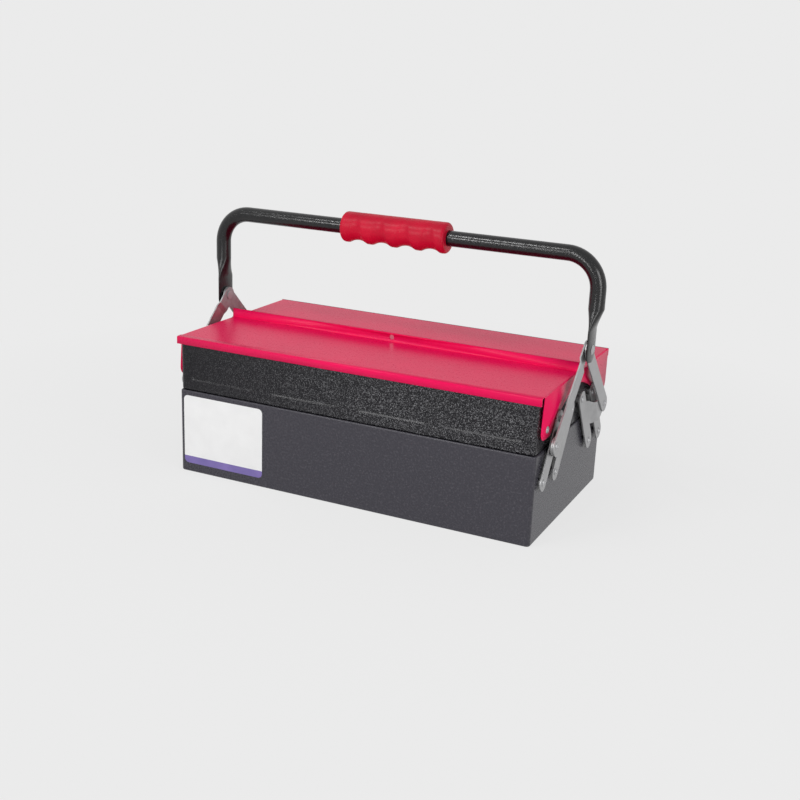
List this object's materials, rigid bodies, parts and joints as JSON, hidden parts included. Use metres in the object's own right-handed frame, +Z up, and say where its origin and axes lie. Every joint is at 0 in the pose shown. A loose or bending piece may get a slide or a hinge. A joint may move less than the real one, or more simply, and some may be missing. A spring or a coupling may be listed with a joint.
{
  "type": "cantilever tool box",
  "caption": "Steel tool box whose lidded trays spread on parallel links as a tube handle with a moulded grip drops through folding arms.",
  "frame": {"origin": "under the middle of the base, on the surface that it stands on", "axes": "+X along the length to the right end, +Y to the back, +Z up; the front is at -Y"},
  "size_m": [0.4458, 0.214, 0.2817],
  "materials": {
    "base_paint": "dark grey enamel with a fine texture, half gloss",
    "tray_paint": "near black hammered enamel",
    "lid_paint": "glossy red enamel",
    "strap_zinc": "satin zinc plate",
    "rivet_steel": "bright rolled heads",
    "handle_paint": "glossy black hammered enamel",
    "label_film": "plain printed film",
    "grip_red": "glossy moulded red"
  },
  "bodies": {
    "base": {"base_box": "base_paint", "base_pivots_left": "rivet_steel", "base_pivots_right": "rivet_steel"},
    "front_cranks": {"front_crank_left": "strap_zinc", "front_crank_right": "strap_zinc"},
    "rear_cranks": {"rear_crank_left": "strap_zinc", "rear_crank_right": "strap_zinc"},
    "front_links": {"front_link_left": "strap_zinc", "front_link_right": "strap_zinc"},
    "rear_links": {"rear_link_left": "strap_zinc", "rear_link_right": "strap_zinc"},
    "front_tray": {"front_tray": "tray_paint", "front_tray_pivots_left": "rivet_steel", "front_tray_pivots_right": "rivet_steel", "front_lid_pivots": "rivet_steel"},
    "rear_tray": {"rear_tray": "tray_paint", "rear_tray_pivots_left": "rivet_steel", "rear_tray_pivots_right": "rivet_steel", "rear_lid_pivots": "rivet_steel"},
    "front_lid": {"front_lid": "lid_paint"},
    "rear_lid": {"rear_lid": "lid_paint"},
    "front_arms": {"front_arm_left": "strap_zinc", "front_arm_right": "strap_zinc", "front_arm_rivets": "rivet_steel"},
    "rear_arms": {"rear_arm_left": "strap_zinc", "rear_arm_right": "strap_zinc", "rear_arm_rivets": "rivet_steel"},
    "handle_pins": {"handle_pin_left": "rivet_steel", "handle_pin_right": "rivet_steel"},
    "handle": {"handle_tube": "handle_paint", "handle_grip": "grip_red"}
  },
  "joints": [
    {"name": "front_crank_turn", "type": "hinge", "parent": "base", "child": "front_cranks", "pos_m": [0, -0.0543, 0.0615], "axis": [1, 0, 0], "range_deg": [0, 67]},
    {"name": "front_link_turn", "type": "hinge", "parent": "base", "child": "front_links", "pos_m": [0, -0.0896, 0.0615], "axis": [1, 0, 0], "range_deg": [0, 67]},
    {"name": "front_tray_level", "type": "hinge", "parent": "front_cranks", "child": "front_tray", "pos_m": [0, -0.018, 0.1156], "axis": [-1, 0, 0], "range_deg": [0, 67]},
    {"name": "rear_crank_turn", "type": "hinge", "parent": "base", "child": "rear_cranks", "pos_m": [0, 0.0543, 0.0615], "axis": [-1, 0, 0], "range_deg": [0, 67]},
    {"name": "rear_link_turn", "type": "hinge", "parent": "base", "child": "rear_links", "pos_m": [0, 0.0896, 0.0615], "axis": [-1, 0, 0], "range_deg": [0, 67]},
    {"name": "rear_tray_level", "type": "hinge", "parent": "rear_cranks", "child": "rear_tray", "pos_m": [0, 0.018, 0.1156], "axis": [1, 0, 0], "range_deg": [0, 67]},
    {"name": "pin_drop", "type": "slide", "parent": "base", "child": "handle_pins", "axis": [0, 0, -1], "range_m": [0, 0.0668]},
    {"name": "front_arm_turn", "type": "hinge", "parent": "handle_pins", "child": "front_arms", "pos_m": [0, 0, 0.1732], "axis": [-1, 0, 0], "range_deg": [0, 14.9]},
    {"name": "rear_arm_turn", "type": "hinge", "parent": "handle_pins", "child": "rear_arms", "pos_m": [0, 0, 0.1732], "axis": [1, 0, 0], "range_deg": [0, 14.9]},
    {"name": "handle_swing", "type": "hinge", "parent": "handle_pins", "child": "handle", "pos_m": [0, 0, 0.1732], "axis": [1, 0, 0], "range_deg": [-40, 40]},
    {"name": "front_lid_hinge", "type": "hinge", "parent": "front_tray", "child": "front_lid", "pos_m": [0, -0.086, 0.1133], "axis": [1, 0, 0], "range_deg": [0, 105]},
    {"name": "rear_lid_hinge", "type": "hinge", "parent": "rear_tray", "child": "rear_lid", "pos_m": [0, 0.086, 0.1133], "axis": [-1, 0, 0], "range_deg": [0, 105]}
  ],
  "couplings": [
    {"joint": "front_link_turn", "follows": "front_crank_turn", "ratio": 1},
    {"joint": "front_tray_level", "follows": "front_crank_turn", "ratio": 1},
    {"joint": "rear_crank_turn", "follows": "front_crank_turn", "ratio": 1},
    {"joint": "rear_link_turn", "follows": "front_crank_turn", "ratio": 1},
    {"joint": "rear_tray_level", "follows": "front_crank_turn", "ratio": 1},
    {"joint": "pin_drop", "follows": "front_crank_turn", "m_per_rad": 0.057073},
    {"joint": "front_arm_turn", "follows": "front_crank_turn", "ratio": 0.22162},
    {"joint": "rear_arm_turn", "follows": "front_crank_turn", "ratio": 0.22162}
  ]
}
